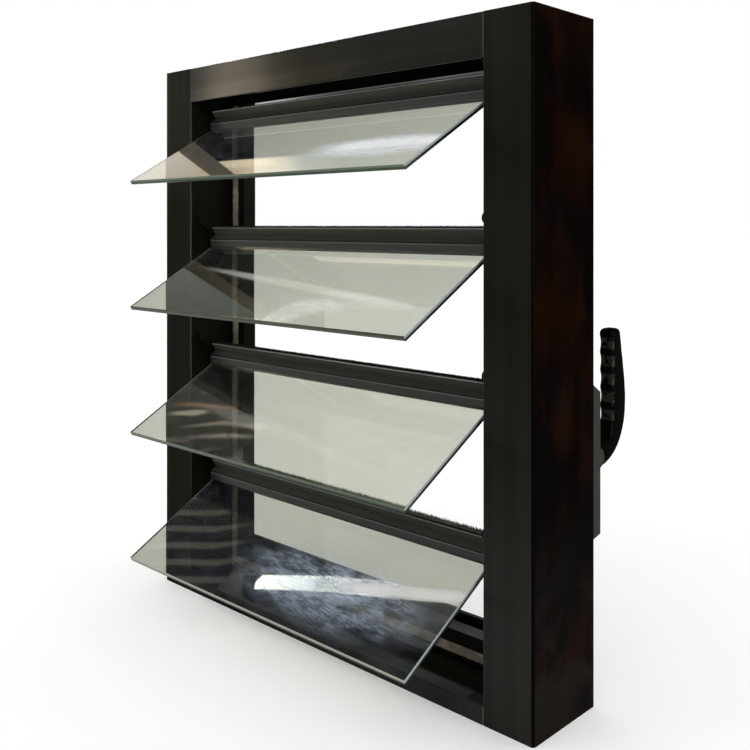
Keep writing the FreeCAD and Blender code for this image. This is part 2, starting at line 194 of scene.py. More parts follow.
# Painted highlight on the glass's side arris
SIDE_ARRIS_HIGHLIGHT = (0.40, 0.46, 0.47, 1)
LEVER_COLOUR = (0.0028, 0.0030, 0.0022, 1)
# Painted highlight in the lever's finger dips
DIP_HIGHLIGHT_COLOUR = (0.030, 0.033, 0.026, 1)
STEEL_COLOUR = (0.030, 0.030, 0.029, 1)
FLOOR_COLOUR = (0.90, 0.90, 0.90, 1)

# Mouldings: colour, roughness, scale and height of the grain, specular level; then their rubbed patches
MOULDINGS = {
    "gasket_rubber": ((0.007, 0.007, 0.007, 1), 0.55, 900.0, 0.02 * MM, 0.25),
    "end_plate_black": ((0.0020, 0.0020, 0.0019, 1), 0.42, 1200.0, 0.01 * MM, 0.05),
    "bush_plastic": ((0.0035, 0.0035, 0.0033, 1), 0.50, 1500.0, 0.01 * MM, 0.06),
    "housing_black": ((0.030, 0.029, 0.025, 1), 0.42, 1800.0, 0.02 * MM, 0.06),
}
RUBBED_GAIN = 2.2
RUBBED_SHARE = 0.5

# A blade's share of the glass tint, lighter on some blades and darker on others as painted light and shade,
# and the colour of its film and its painted reflections
BLADE_LOOKS = {
    1: (1.20, (0.88, 0.94, 1.0, 1)),
    2: (0.99, (0.97, 0.96, 0.88, 1)),
    3: (1.0, (0.90, 0.90, 0.84, 1)),
    4: (0.85, (0.68, 0.80, 1.0, 1)),
}

# Front edge of each blade, in tones painted per blade for light and shade: its upper arris and the rest below
FRONT_EDGES = {
    1: ((0.11, 0.15, 0.10, 1), (0.022, 0.044, 0.014, 1)),
    2: ((0.016, 0.018, 0.010, 1), (0.045, 0.056, 0.030, 1)),
    3: ((0.10, 0.14, 0.09, 1), (0.035, 0.050, 0.030, 1)),
    4: ((0.42, 0.41, 0.34, 1), (0.020, 0.022, 0.015, 1)),
}

# Film of wiped strokes on the glass: weight and turn
FILM_WEIGHT = 0.045
WIPE_TURN = 0.12

# Smudges on the glass, among them painted reflections (the two smooth bands on the second blade, both on the
# third, and the second one on the lowest, along the tube): middle and half size across the blade and from its
# back edge, turn, weight, fibres
SMUDGES_AND_REFLECTIONS = {
    1: (((0.150, 0.104), (0.120, 0.026), 0.0, 1.0, 0.6),),
    2: (((0.020, 0.0848), (0.220, 0.0082), 0.124, 0.46, 0.0),
        ((0.135, 0.101), (0.080, 0.0110), 0.12, 0.42, 0.1),
        ((0.085, 0.112), (0.100, 0.024), 0.05, 0.16, 0.7)),
    3: (((0.060, 0.070), (0.160, 0.014), 0.10, 0.18, 0.2),
        ((-0.020, 0.095), (0.150, 0.012), 0.08, 0.18, 0.2)),
    4: (((0.070, 0.094), (0.150, 0.052), 0.0, 0.66, 1.0),
        ((0.070, 0.092), (0.120, 0.020), -0.32, 0.30, 0.5)),
}

# Painted reflections of lamps, white bars on the top and lowest blades: middle, half size, turn, soft rim,
# weight
PAINTED_REFLECTIONS = {
    1: ((0.165, 0.100), (0.085, 0.012), 0.0, 1.0, 0.62),
    4: ((0.158, 0.0685), (0.072, 0.0092), -0.253, 1.0, 0.72),
}

# Painted reflection on the second blade, a crescent with fibres like a smudge: an ellipse, and the one that
# hollows it from below
REFLECTION_BLADE = 2
REFLECTION_ARC = ((0.075, 0.145), (0.058, 0.047), 0.0)
REFLECTION_HOLLOW = ((0.140, 0.160), (0.095, 0.052), 0.0)
REFLECTION_RIM = 0.45
REFLECTION_WEIGHT = 0.75
REFLECTION_FIBRES = 0.55

# Stage: floor, plain light, ceiling overhead by its place from front to back, and key lamp
FLOOR_HALF = 30.0
FLOOR_GLOW = 0.27
PLAIN_LIGHT = 0.85
CEILING_RISE = (0.36, 0.50)
CEILING_STOPS = (
    (0.00, (0.03, 0.03, 0.027, 1)),
    (0.12, (0.10, 0.10, 0.085, 1)),
    (0.26, (0.24, 0.27, 0.24, 1)),
    (0.33, (0.70, 0.60, 0.43, 1)),
    (0.46, (0.74, 0.64, 0.47, 1)),
    (0.58, (0.05, 0.048, 0.042, 1)),
)
KEY_PLACE = (-1.4, -1.9, 2.3)
KEY_AIM = (0, 0, 0.3)
KEY_SIZE = 1.2
KEY_POWER = 8

# Light ribbons overhead that show in the glass: path, width, strength, softness of the edge, colour
ROOF_HEIGHT = 1.5
TUBE_WHITE = (0.93, 0.97, 1.0, 1)
TUBE_VIOLET = (0.96, 0.90, 1.14, 1)
WARM_WHITE = (1.0, 0.90, 0.74, 1)
PANEL_WARM = (1.0, 0.84, 0.60, 1)
CARD_WARM = (1.0, 0.84, 0.62, 1)
TIMBER = (0.62, 0.42, 0.28, 1)
RIBBONS = {
    "ribbon_tube": (
        ((-1.52, -0.142), (-1.495, -0.136), (-1.30, -0.088), (-1.235, -0.075), (-1.205, -0.069)),
        0.044, 60.0, 0.25, TUBE_WHITE),
    "ribbon_tube_end": (
        ((-1.275, -0.083), (-1.245, -0.077), (-1.065, -0.042), (-0.905, -0.012), (-0.775, 0.017),
         (-0.73, 0.027)),
        0.046, 220.0, 0.25, TUBE_VIOLET),
    "ribbon_panel": (
        ((-2.25, -0.66), (-2.05, -0.66), (-1.45, -0.66), (-1.25, -0.66)),
        0.40, 10.0, 0.5, PANEL_WARM),
    "ribbon_pale_panel": (
        ((-1.45, -0.69), (-1.20, -0.69), (-0.70, -0.69), (-0.45, -0.69)),
        0.40, 5.0, 0.5, TUBE_WHITE),
    "ribbon_1": (
        ((-1.935, 0.277), (-1.63, 0.288), (-1.395, 0.29), (-1.13, 0.29)),
        0.022, 0.80, 1.0, WARM_WHITE),
    "ribbon_2": (
        ((-1.925, 0.228), (-1.60, 0.246), (-1.33, 0.272), (-1.00, 0.293)),
        0.026, 0.90, 1.0, WARM_WHITE),
    "ribbon_3": (
        ((-2.06, 0.159), (-1.89, 0.177), (-1.635, 0.197), (-1.41, 0.221), (-1.165, 0.231)),
        0.030, 0.75, 1.0, TIMBER),
    "ribbon_4": (
        ((-2.03, 0.13), (-1.865, 0.151), (-1.785, 0.16)),
        0.030, 0.85, 0.6, WARM_WHITE),
    "ribbon_5": (
        ((-1.96, 0.088), (-1.705, 0.14), (-1.545, 0.152), (-1.22, 0.201)),
        0.026, 0.65, 1.0, WARM_WHITE),
    "ribbon_6": (
        ((-1.905, 0.063), (-1.66, 0.104), (-1.465, 0.122)),
        0.028, 0.72, 1.0, WARM_WHITE),
}

# Row of slats overhead: each point of the first slat's path, and the step from slat to slat there
SLATS = 6
SLAT_WIDTH = 0.030
SLAT_STRENGTH = 0.26
SLAT_SOFTNESS = 0.7
SLAT_PATH = (
    ((-2.36, -0.057), (0.058, -0.046)),
    ((-2.10, 0.010), (0.037, -0.049)),
    ((-1.86, 0.058), (0.032, -0.048)),
    ((-1.65, 0.116), (0.028, -0.047)),
)

# Upright cards beside the stage: path of the middle, height, width, strength, softness, colour
UPRIGHT_CARDS = {
    "card_right": (
        ((1.45, -1.05), (1.50, -0.95), (1.85, -0.20), (1.90, -0.10)),
        0.8, 2.4, 14.0, 0.3, WARM_WHITE),
    "card_warm": (
        ((-1.775, -1.145), (-1.735, -1.195), (-1.58, -1.40), (-1.40, -1.64)),
        0.87, 0.46, 3.6, 1.0, CARD_WARM),
}


class Socket:
    """An output socket whose operators add Math nodes to its tree."""

    def __init__(self, tree, socket):
        self.tree = tree
        self.socket = socket

    def maths(self, operation, *operands, clamp=False):
        made = self.tree.nodes.new("ShaderNodeMath")
        made.operation = operation
        made.use_clamp = clamp
        for place, operand in enumerate(operands):
            join(self.tree, operand, made.inputs[place])
        return Socket(self.tree, made.outputs[0])

    def __add__(self, other):
        return self.maths("ADD", self, other)

    def __radd__(self, other):
        return self.maths("ADD", other, self)

    def __sub__(self, other):
        return self.maths("SUBTRACT", self, other)

    def __rsub__(self, other):
        return self.maths("SUBTRACT", other, self)

    def __mul__(self, other):
        return self.maths("MULTIPLY", self, other)

    def __rmul__(self, other):
        return self.maths("MULTIPLY", other, self)

    def __truediv__(self, other):
        return self.maths("DIVIDE", self, other)

    def __abs__(self):
        return self.maths("ABSOLUTE", self)

    def sine(self):
        return self.maths("SINE", self)

    def larger(self, other):
        return self.maths("MAXIMUM", self, other)

    def above(self, limit):
        return self.maths("GREATER_THAN", self, limit)

    def below(self, limit):
        return self.maths("LESS_THAN", self, limit)

    def clamped(self):
        return self.maths("ADD", self, 0.0, clamp=True)


def join(tree, value, socket):
    """Links a Socket to a node's input, or sets the input to a plain value."""
    if isinstance(value, Socket):
        tree.links.new(value.socket, socket)
    else:
        socket.default_value = value


class Tree:
    """A node tree of a material or of the world, with one method that adds any node."""

    def __init__(self, owner):
        owner.use_nodes = True
        self.tree = owner.node_tree
        self.tree.nodes.clear()

    def node(self, kind, settings=None, sockets=None, output=0):
        """Adds a node: its settings first, a ramp's stops among them, then its sockets."""
        made = self.tree.nodes.new(kind)
        for name, value in (settings or {}).items():
            if name == "stops":
                self.set_stops(made.color_ramp, value)
            else:
                setattr(made, name, value)
        for name, value in (sockets or {}).items():
            join(self.tree, value, made.inputs[name])
        return Socket(self.tree, made.outputs[output]) if made.outputs else None

    @staticmethod
    def set_stops(ramp, stops):
        while len(ramp.elements) < len(stops):
            ramp.elements.new(1.0)
        for element, (place, colour) in zip(ramp.elements, stops):
            element.position = place
            element.color = colour

    def coordinates(self):
        return self.node("ShaderNodeTexCoord", output="Object")

    def axes(self, vector):
        """The three parts of a vector."""
        split = self.node("ShaderNodeSeparateXYZ", sockets={"Vector": vector}).socket.node
        return [Socket(self.tree, part) for part in split.outputs]

    def mapped(self, vector, scale=(1, 1, 1), turn=(0, 0, 0), place=(0, 0, 0)):
        sockets = {"Vector": vector, "Scale": scale, "Rotation": turn, "Location": place}
        return self.node("ShaderNodeMapping", sockets=sockets)

    def noise(self, vector, scale=1.0, detail=3.0, roughness=0.55, twist=0.0):
        sockets = {"Vector": vector, "Scale": scale, "Detail": detail}
        sockets.update({"Roughness": roughness, "Distortion": twist})
        return self.node("ShaderNodeTexNoise", sockets=sockets)

    def spread(self, value, low, high, start=0.0, end=1.0):
        """A value between low and high carried over to start and end, and held there."""
        settings = {"interpolation_type": "SMOOTHSTEP"}
        sockets = {"Value": value, "From Min": low, "From Max": high, "To Min": start, "To Max": end}
        return self.node("ShaderNodeMapRange", settings, sockets)

    def blend(self, factor, first, second):
        """A colour between two colours."""
        settings = {"data_type": "RGBA"}
        return self.node("ShaderNodeMix", settings, {0: factor, 6: first, 7: second}, output=2)

    def layered(self, factor, under, over):
        """A surface between two surfaces."""
        return self.node("ShaderNodeMixShader", sockets={0: factor, 1: under, 2: over})

    def bump(self, height, distance, strength=0.6):
        sockets = {"Height": height, "Distance": distance, "Strength": strength}
        return self.node("ShaderNodeBump", sockets=sockets)


class Finish(Tree):
    """A material with a Principled shader."""

    def __init__(self, name, **sockets):
        self.material = bpy.data.materials.new(name)
        super().__init__(self.material)
        self.shader = self.tree.nodes.new("ShaderNodeBsdfPrincipled")
        self.out = self.tree.nodes.new("ShaderNodeOutputMaterial")
        self.show(self.surface())
        self.set(**sockets)

    def show(self, surface):
        self.tree.links.new(surface.socket, self.out.inputs["Surface"])

    def set(self, **sockets):
        """Sets the shader's inputs, named with underscores for spaces."""
        for name, value in sockets.items():
            words = name.replace("_", " ").title().replace("Ior", "IOR")
            join(self.tree, value, self.shader.inputs[words])

    def surface(self):
        return Socket(self.tree, self.shader.outputs[0])


def middle_of(node):
    """Middle of a CAD node's box at rest."""
    low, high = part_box(node)
    return (np.array(low) + np.array(high)) / 2


# Frame and rail finishes

def outer_side(finish, place, z):
    """Colour of a jamb's outer side: mottled red brown on black, greyer in clouds at the foot."""
    mottle = finish.noise(finish.mapped(place, (9.0, 17.0, 10.0)), roughness=0.5, twist=0.25)
    clouds = finish.noise(finish.mapped(place, (5.0, 14.0, 16.0)), detail=4.0, roughness=0.6, twist=0.6)
    side = finish.blend(finish.spread(mottle, 0.40, 0.68), SIDE_BLACK, SIDE_RED)
    foot = (1 - finish.spread(z, *SIDE_FOOT_SPAN)) * finish.spread(clouds, 0.34, 0.62)
    return finish.blend(foot, side, SIDE_FOOT)


def frame_black(name, along, haziness, shine, polish):
    """Gloss black coat on an extrusion.

    Streaks and broad clouds of haze lie on it, and the head's left part is buffed brighter. The outer front
    corners carry painted shade as black lines, the stiles' inner front edges carry a painted highlight line,
    and dust lies on top.
    """
    finish = Finish(name, specular_ior_level=0.0, coat_roughness=haziness, coat_ior=1.5)
    place = finish.coordinates()
    x, y, z = finish.axes(place)
    stretch = [STREAKS_ALONG if axis == along else STREAKS_ACROSS for axis in "xyz"]
    streaks = finish.noise(finish.mapped(place, stretch), detail=4.0, roughness=0.6)
    broad = finish.noise(finish.mapped(place, (5.0, 5.0, 3.0)), detail=2.0)
    grain = finish.noise(place, 2600.0, detail=2.0)
    specks = finish.noise(place, 900.0, roughness=0.7)
    _, _, upward = finish.axes(finish.node("ShaderNodeNewGeometry", output="Normal"))

    outer = abs(x).above(HALF_WIDTH - SIDE_SKIN)
    corner = abs(x).above(HALF_WIDTH - CORNER_SKIN) * y.below(FRONT + CORNER_SKIN) * (1 - outer)
    reveal = abs(x).below(STILE_EDGE + STILE_SKIN) * y.above(FRONT + CORNER_SKIN) * abs(x).above(REVEAL)
    # Painted highlight: a light line along the stiles' inner front edges
    inner_edge = abs(abs(x) - STILE_EDGE).below(STILE_SKIN) * y.below(FRONT + STILE_SKIN)
    painted_highlight = inner_edge * finish.spread(broad, 0.30, 0.62, 0.15, 0.9)
    dust = finish.spread(specks, 0.64, 0.82) * finish.spread(upward, 0.6, 0.95)
    haze = finish.spread(streaks, 0.35, 0.7) * HAZE_STREAKS + finish.spread(broad, 0.3, 0.7) * HAZE_CLOUDS

    coat = finish.blend(outer, FRAME_COLOUR, outer_side(finish, place, z))
    # Painted shade: black lines along the outer front corners
    coat = finish.blend(corner, coat, CORNER_SHADE_COLOUR)
    coat = finish.blend(painted_highlight, coat, STILE_EDGE_HIGHLIGHT)
    buffed = (1 - finish.spread(x, *BUFFED_SPAN)) * finish.spread(z, HEAD_FOOT - BUFFED_DROP, HEAD_FOOT)
    foot = 1 - finish.spread(z, *FOOT_SHINE_SPAN)
    rightward = finish.spread(x, -HALF_WIDTH, HALF_WIDTH, LEFT_SHINE, RIGHT_SHINE)
    gloss = shine * rightward + buffed * polish + foot * FOOT_SHINE
    dulled = (1 - outer * OUTER_DULLING) * (1 - corner * CORNER_DULLING) * (1 - reveal * REVEAL_DULLING)
    finish.set(
        base_color=finish.blend(dust * DUST_SHARE, coat, DUST_COLOUR),
        roughness=0.20 + haze * 0.16 + dust * 0.3,
        coat_weight=(COAT_CLEAN + haze * COAT_HAZE) * gloss * dulled,
        normal=finish.bump(grain, 0.006 * MM),
    )
    return finish.material


def rail_black(number):
    """Satin olive black coat on a rail: fine lines, dust, a painted highlight on the crest and a fainter one
    on the lip, a painted shadow line in the groove, and darker below the lip's top.
    """
    finish = Finish(f"rail_black_{number}", specular_ior_level=0.16)
    low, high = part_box(f"blade_{number}_rail")
    place = finish.coordinates()
    _, y, z = finish.axes(place)
    lines = finish.noise(finish.mapped(place, (1.2, 300.0, 300.0)), roughness=0.6)
    cloud = finish.noise(finish.mapped(place, (7.0, 40.0, 40.0)))
    specks = finish.noise(place, 700.0, roughness=0.7)
    dust = finish.spread(specks, 0.56, 0.8) * finish.spread(cloud, 0.4, 0.7)
    # Painted highlight lines on the crest and lip, a painted shadow line in the groove, and darker below the
    # lip's top
    crest = y.below(low.y + CREST_DEPTH) * z.above(high.z - CREST_HEIGHT)
    groove_shadow = y.below(low.y + GROOVE_DEPTH) * abs(z - (low.z + GROOVE_LEVEL)).below(GROOVE_HALF)
    lip = y.below(low.y + LIP_DEPTH) * abs(z - (low.z + LIP_LEVEL)).below(LIP_HALF)
    under = z.below(low.z + LIP_TOP)
    wear_and_highlight = (crest + lip * LIP_HIGHLIGHT) * finish.spread(cloud, 0.30, 0.62, 0.45, 1.0)
    colour = finish.blend(dust * RAIL_DUST_SHARE, RAIL_COLOUR, DUST_COLOUR)
    colour = finish.blend(groove_shadow * GROOVE_SHADE + under * LIP_SHADE, colour, SHADOW_AND_YARN_BLACK)
    finish.set(
        base_color=finish.blend(wear_and_highlight, colour, CREST_HIGHLIGHT_COLOUR),
        roughness=0.26 + finish.spread(lines, 0.3, 0.7) * 0.14 + dust * 0.3,
        normal=finish.bump(lines, 0.02 * MM, 0.5),
    )
    return finish.material


# Glass finish

def turned(x, inward, middle, half, turn):
    """Squares of the way along and across a turned spot on a blade, 1 at its half length and half width."""
    right = x - middle[0]
    down = -middle[1] - inward
    first = (right * math.cos(turn) + down * math.sin(turn)) / half[0]
    second = (down * math.cos(turn) - right * math.sin(turn)) / half[1]
    return first * first, second * second


def soft_ellipse(finish, x, inward, middle, half, turn, rim=1.0):
    """A mask on a blade: 1 inside a turned ellipse and 0 outside, softened over its rim."""
    first, second = turned(x, inward, middle, half, turn)
    return finish.spread(1 - first - second, 0.0, rim)


def soft_bar(finish, x, inward, middle, half, turn, rim):
    """A mask on a blade: 1 inside a turned bar with blunt ends and 0 outside, softened over its rim."""
    first, second = turned(x, inward, middle, half, turn)
    return finish.spread(1 - first * first * first - second, 0.0, rim)


def glass_film(finish, number, flat, x, inward):
    """Weight of the film on a blade: faint strokes all over, its smudges and painted reflections, and the
    painted crescent reflection.
    """
    across = finish.mapped(flat, turn=(0, 0, WIPE_TURN))
    wiped = finish.mapped(across, (55.0, 1100.0, 1.0), place=(number, 0, 0))
    fibres = finish.noise(wiped, detail=10.0, roughness=0.85, twist=0.12)
    patches = finish.mapped(flat, (30.0, 75.0, 1.0), place=(0, number * 1.7, 0))
    cloud = finish.noise(patches, detail=6.0, roughness=0.7)
    strokes = finish.spread(fibres, 0.36, 0.62) * finish.spread(cloud, 0.28, 0.66)
    film = strokes * FILM_WEIGHT
    # Smudges, with painted reflections among them
    for *ellipse, weight, fibrous in SMUDGES_AND_REFLECTIONS[number]:
        smudge_and_reflection = soft_ellipse(finish, x, inward, *ellipse)
        film = film + smudge_and_reflection * weight * (strokes * fibrous + (1 - fibrous))
    # Painted reflection: a crescent on the second blade
    if number == REFLECTION_BLADE:
        arc = soft_ellipse(finish, x, inward, *REFLECTION_ARC, REFLECTION_RIM)
        hollow = soft_ellipse(finish, x, inward, *REFLECTION_HOLLOW, REFLECTION_RIM)
        crescent = arc * (1 - hollow) * REFLECTION_WEIGHT
        film = film + crescent * (strokes * REFLECTION_FIBRES + (1 - REFLECTION_FIBRES))
    return film


def ground_edge(finish, number, place, height, side_edge):
    """Surface of a blade's ground edges: an upper arris and the rest below, in tones painted per blade for
    light and shade, a painted highlight on the side arris, and light chips.
    """
    arris = height.above(ARRIS_FOOT)
    # Front edge tones painted per blade for light and shade; the side arris carries a painted highlight
    upper_tone, lower_tone = FRONT_EDGES[number]
    front_tone = finish.blend(arris, lower_tone, upper_tone)
    side_tone = finish.blend(arris, SIDE_EDGE_COLOUR, SIDE_ARRIS_HIGHLIGHT)
    tone = finish.blend(side_edge, front_tone, side_tone)
    chips = finish.spread(finish.noise(place, 420.0, detail=2.0), 0.60, 0.80) * CHIP_SHARE
    tone = finish.blend(chips, tone, EDGE_LIGHT)
    sockets = {"Base Color": tone, "Roughness": 0.3, "Specular IOR Level": 0.15}
    return finish.node("ShaderNodeBsdfPrincipled", sockets=sockets)


def blade_glass(number):
    """Clear sheet with a grey green tint, lighter on some blades and darker on others as painted light and
    shade, ground edges, and a thin film of wiped smudges and painted reflections on its upper face.

    Its places are read across the blade, from its back edge (outwards is negative) and up off its face.
    """
    # The tint's share per blade is painted light and shade
    light_share, film_colour = BLADE_LOOKS[number]
    tint = tuple(part * light_share for part in GLASS_TINT[:3]) + (1,)
    finish = Finish(f"blade_glass_{number}", base_color=tint, roughness=0.0)
    finish.set(transmission_weight=1.0, ior=1.5, coat_weight=1.0, coat_roughness=0.0, coat_ior=1.5)
    low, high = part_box(f"blade_{number}_glass")
    place = finish.coordinates()
    centred = finish.mapped(place, place=(0, -high.y, -high.z))
    flat = finish.mapped(centred, turn=(-BLADE_TILT, 0, 0))
    x, inward, height = finish.axes(flat)
    upper_face = height.above(0.0)

    film = glass_film(finish, number, flat, x, inward)
    haze = finish.node("ShaderNodeBsdfDiffuse", sockets={"Color": film_colour})
    surface = finish.layered((film * upper_face).clamped(), finish.surface(), haze)
    # Painted reflections of lamps: white bars on the top and lowest blades
    if number in PAINTED_REFLECTIONS:
        *bar, weight = PAINTED_REFLECTIONS[number]
        white = finish.node("ShaderNodeBsdfDiffuse", sockets={"Color": WHITE})
        surface = finish.layered(soft_bar(finish, x, inward, *bar) * upper_face * weight, surface, white)

    reach = math.hypot(high.y - low.y, high.z - low.z)
    side_edge = abs(x).above(HALF_GLASS - EDGE_SKIN)
    edge = side_edge.larger(inward.below(-reach + FRONT_EDGE_SKIN))
    ground = ground_edge(finish, number, place, height, side_edge)
    finish.show(finish.layered(edge * EDGE_SHARE, surface, ground))
    return finish.material


# Finishes of the small pieces

def pile_yarn(name, light, dark):
    """Short brushed yarn, lighter and darker from tuft to tuft."""
    finish = Finish(name, roughness=0.9, specular_ior_level=0.1, sheen_weight=0.15)
    place = finish.coordinates()
    tuft = finish.noise(place, 700.0, detail=2.0, roughness=0.7)
    patch = finish.noise(place, 60.0, detail=2.0)
    shade = (tuft * 0.7 + patch * 0.5 - 0.1).clamped()
    finish.set(base_color=finish.blend(finish.spread(shade, 0.3, 0.75), dark, light))
    return finish.material


def moulded_black(name):
    """Moulded or painted black: fine grain, faint cloudy wear."""
    colour, roughness, grain_scale, grain_height, specular = MOULDINGS[name]
    finish = Finish(name, specular_ior_level=specular)
    place = finish.coordinates()
    grain = finish.noise(place, grain_scale, roughness=0.6)
    wear_and_highlight = finish.spread(finish.noise(place, 45.0), 0.5, 0.75)
    lighter = tuple(part * RUBBED_GAIN for part in colour[:3]) + (1,)
    finish.set(
        base_color=finish.blend(wear_and_highlight * RUBBED_SHARE, colour, lighter),
        roughness=roughness + wear_and_highlight * 0.10,
        normal=finish.bump(grain, grain_height),
    )
    return finish.material


def lever_gloss():
    """Gloss black moulding, with a painted highlight in the finger dips: a lighter colour and more coat
    there.
    """
    finish = Finish("lever_gloss", roughness=0.2, specular_ior_level=0.0, coat_roughness=0.05, coat_ior=1.5)
    pin = middle_of("handle_pin")
    place = finish.coordinates()
    _, y, z = finish.axes(place)
    foot = pin[2] + GRIP_FOOT * MM
    length = (GRIP_TOP - GRIP_FOOT) * MM
    bottom = pin[1] + (GRIP_INNER + FINGER_DIP) * MM
    # Painted highlight in the finger dips, with more coat there
    wave = (z - foot) * (math.pi * FINGERS / length)
    bowl = finish.spread(abs(wave.sine()), 0.45, 0.75) * z.above(foot) * z.below(foot + length)
    near = 1 - finish.spread(y, bottom + DIP_HIGHLIGHT_FADE[0], bottom + DIP_HIGHLIGHT_FADE[1])
    patches = finish.noise(place, 160.0, roughness=0.6)
    painted_highlight = bowl * near * finish.spread(patches, 0.38, 0.55)
    finish.set(
        base_color=finish.blend(painted_highlight, LEVER_COLOUR, DIP_HIGHLIGHT_COLOUR),
        coat_weight=LEVER_SHINE + painted_highlight * DIP_HIGHLIGHT_SHINE,
        normal=finish.bump(finish.noise(place, 500.0, roughness=0.6), 0.006 * MM),
    )
    return finish.material


def pin_steel():
    """Blackened steel with fine turning rings."""
    finish = Finish("pin_steel", metallic=1.0, base_color=STEEL_COLOUR)
    rings = finish.noise(finish.mapped(finish.coordinates(), (4000.0, 60.0, 60.0)), detail=2.0)
    finish.set(roughness=0.24 + rings * 0.2, normal=finish.bump(rings, 0.01 * MM, 0.5))
    return finish.material


def dress(material, *names):
    """Gives CAD nodes their finish."""
    for name in names:
        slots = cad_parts[name].data.materials
        slots.clear()
        slots.append(material)


def dress_frame():
    """Finishes of the frame, its bushes and the handle's fixed pieces."""
    jamb = frame_black("jamb_black", along="z", haziness=0.28, shine=0.9, polish=1.2)
    level = frame_black("rail_member_black", along="x", haziness=0.10, shine=1.6, polish=3.5)
    dress(jamb, "left_jamb", "right_jamb")
    dress(level, "head", "sill")
    dress(moulded_black("bush_plastic"), *[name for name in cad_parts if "bush" in name])
    dress(moulded_black("housing_black"), "handle_housing")
    dress(pin_steel(), "handle_pin")


def dress_blades():
    """Finishes of each blade's glass, rail, gasket and end plates."""
    gasket = moulded_black("gasket_rubber")
    plate = moulded_black("end_plate_black")
    for number in BLADES:
        blade = f"blade_{number}"
        dress(blade_glass(number), f"{blade}_glass")
        dress(rail_black(number), f"{blade}_rail")
        dress(gasket, f"{blade}_gasket")
        dress(plate, f"{blade}_left_plate", f"{blade}_right_plate")


# Pile strips

def unit(vector):
    return np.array(vector, float) / np.linalg.norm(vector)


def pile_mesh(corner, along, across, up, size, pitch, seed):
    """A backing strip with tufts on a jittered grid.

    A tuft is a square of half width w that shrinks to a point: ring k is its root plus k times its lean,
    with half width w (1 - taper k) for k = 0 and at the neck, and the tip is at k = 1. Roots lie at
    corner + u along + v across.
    """
    length, width, height = size
    draw = np.random.default_rng(seed)
    columns = int(length / pitch)
    rows = int(width / pitch)
    u, v = np.meshgrid(np.arange(columns) + 0.5, np.arange(rows) + 0.5, indexing="ij")
    u = (u + draw.uniform(-TUFT_JITTER, TUFT_JITTER, u.shape)).ravel() * length / columns
    v = (v + draw.uniform(-TUFT_JITTER, TUFT_JITTER, v.shape)).ravel() * width / rows
    count = u.size
    tall = height * draw.uniform(TUFT_SHORTEST, 1.0, count)
    lean = draw.normal(0.0, TUFT_LEAN, (count, 2)) * height
    lean[:, 0] = np.clip(lean[:, 0], -u, length - u)
    lean[:, 1] = np.clip(lean[:, 1], -v, width - v)
    half = pitch * draw.uniform(*TUFT_HALF_WIDTHS, count)
    turn = draw.uniform(0, math.pi / 2, count)
    root = np.stack([u, v, np.zeros(count)], 1)
    top = root + np.stack([lean[:, 0], lean[:, 1], tall], 1)
    corners = turn[:, None] + np.arange(4) * math.pi / 2
    square = np.stack([np.cos(corners), np.sin(corners), np.zeros_like(corners)], 2) * half[:, None, None]
    rise = (top - root)[:, None]
    rings = [root[:, None] + rise * k + square * (1 - TUFT_TAPER * k) for k in (0.0, TUFT_NECK)]
    local = np.concatenate([rings[0], rings[1], top[:, None]], 1)
    local[..., 0] = np.clip(local[..., 0], 0, length)
    local[..., 1] = np.clip(local[..., 1], 0, width)
    tuft_points = local.shape[1]
    base = np.array([[0, 0], [length, 0], [length, width], [0, width]])
    backing = np.array([[a, b, c] for c in (0.0, height * BACKING_SHARE) for a, b in base])
    local = np.concatenate([local.reshape(-1, 3), backing])
    basis = np.stack([unit(along), unit(across), unit(up)])
    points = np.array(corner) + local @ basis
    start = np.arange(count)[:, None] * tuft_points
    next_corner = (1, 2, 3, 0)
    walls = [start + np.array([k, n, n + 4, k + 4]) for k, n in enumerate(next_corner)]
    tips = [start + np.array([k + 4, n + 4, 8]) for k, n in enumerate(next_corner)]
    first = count * tuft_points
    box = [(3, 2, 1, 0), (4, 5, 6, 7), (0, 1, 5, 4), (1, 2, 6, 5), (2, 3, 7, 6), (3, 0, 4, 7)]
    faces = np.concatenate(walls).tolist() + np.concatenate(tips).tolist()
    faces += [[first + k for k in side] for side in box]
    return points, faces


def make_piece(name, points, faces, material, body):
    """A mesh object in the part's frame that rides on a body."""
    mesh = bpy.data.meshes.new(name)
    mesh.from_pydata(points.tolist(), [], faces)
    mesh.materials.append(material)
    piece = bpy.data.objects.new(name, mesh)
    bpy.context.scene.collection.objects.link(piece)
    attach(piece, body)
    return piece


def frame_piles():
    """Brushed seals on the jamb stops and on the sill's upstand, facing outside."""
    yarn = pile_yarn("frame_pile", PILE_LIGHT, PILE_DARK)
    for place, node in enumerate(("left_jamb_pile", "right_jamb_pile", "sill_pile")):
        low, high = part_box(node)
        height = high.y - low.y
        if node == "sill_pile":
            corner, along, across = (low.x, high.y, low.z), (1, 0, 0), (0, 0, 1)
            size = (high.x - low.x, high.z - low.z, height)
        else:
            corner, along, across = (low.x, high.y, high.z), (0, 0, -1), (1, 0, 0)
            size = (high.z - low.z, high.x - low.x, height)
        seed = FRAME_PILE_SEED + place
        points, faces = pile_mesh(corner, along, across, (0, -1, 0), size, FRAME_PILE_PITCH, seed)
        piece = make_piece(f"{node}_tufts", points, faces, yarn, "frame")
        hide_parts(node)


